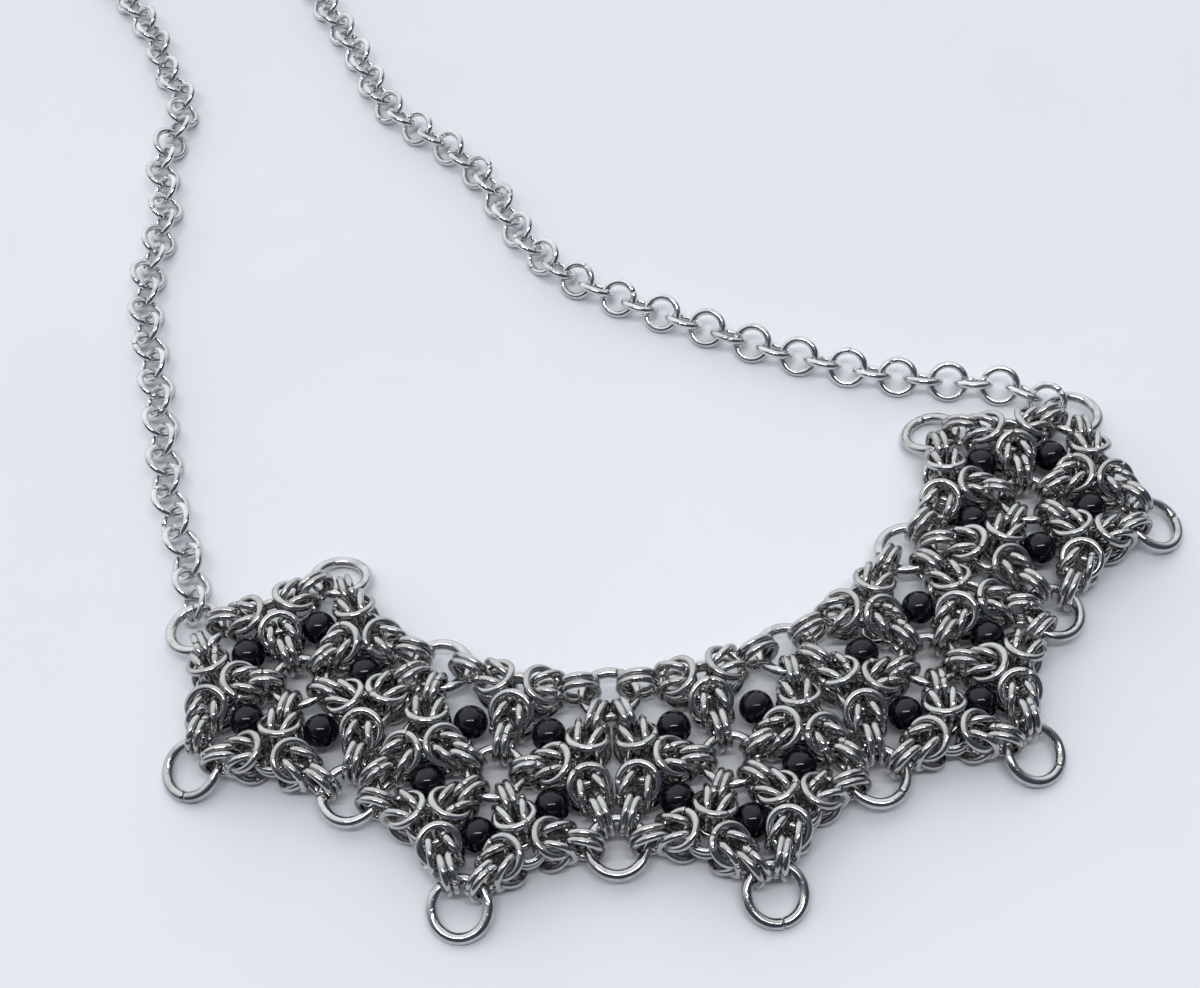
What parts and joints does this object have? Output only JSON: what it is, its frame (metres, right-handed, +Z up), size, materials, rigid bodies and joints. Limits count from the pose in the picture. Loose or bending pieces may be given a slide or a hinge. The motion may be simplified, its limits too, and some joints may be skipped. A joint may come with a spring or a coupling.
{
  "type": "chainmail necklace",
  "caption": "Bib necklace of linked steel rings: five round rosettes with black beads, and a plain ring chain that closes at a clasp.",
  "frame": {"origin": "on the table, under the middle of the whole necklace as it lies", "axes": "+Z up from the table; +Y from the bib towards the clasp; +X to the right of someone who looks down at it from the bib's side"},
  "size_m": [0.1472, 0.1936, 0.0064],
  "materials": {
    "woven_rings": "polished",
    "large_rings": "polished",
    "chain": "polished",
    "clasp": "polished",
    "bead": "polished"
  },
  "bodies": {
    "root": {"bead_1_1": "bead", "bead_1_2": "bead", "bead_1_3": "bead", "bead_1_4": "bead", "bead_1_5": "bead", "bead_2_1": "bead", "bead_2_2": "bead", "bead_2_3": "bead", "bead_2_4": "bead", "bead_2_5": "bead", "bead_3_1": "bead", "bead_3_2": "bead", "bead_3_3": "bead", "bead_3_4": "bead", "bead_3_5": "bead", "bead_4_1": "bead", "bead_4_2": "bead", "bead_4_3": "bead", "bead_4_4": "bead", "bead_4_5": "bead", "bead_5_1": "bead", "bead_5_2": "bead", "bead_5_3": "bead", "bead_5_4": "bead", "bead_5_5": "bead", "centre_ring_1": "large_rings", "centre_ring_2": "large_rings", "centre_ring_3": "large_rings", "centre_ring_4": "large_rings", "centre_ring_5": "large_rings", "chain_left": "chain", "chain_right": "chain", "clasp": "clasp", "left_chain_ring": "large_rings", "left_end_ring": "large_rings", "neck_ring_1": "large_rings", "neck_ring_2": "large_rings", "neck_ring_3": "large_rings", "neck_ring_4": "large_rings", "outer_ring_1": "large_rings", "outer_ring_2": "large_rings", "outer_ring_3": "large_rings", "outer_ring_4": "large_rings", "right_chain_ring": "large_rings", "right_end_ring": "large_rings", "tip_ring_1": "large_rings", "tip_ring_2": "large_rings", "tip_ring_3": "large_rings", "tip_ring_4": "large_rings", "tip_ring_5": "large_rings", "woven_knots_1": "woven_rings", "woven_knots_2": "woven_rings", "woven_knots_3": "woven_rings", "woven_knots_4": "woven_rings", "woven_knots_5": "woven_rings"}
  },
  "joints": []
}
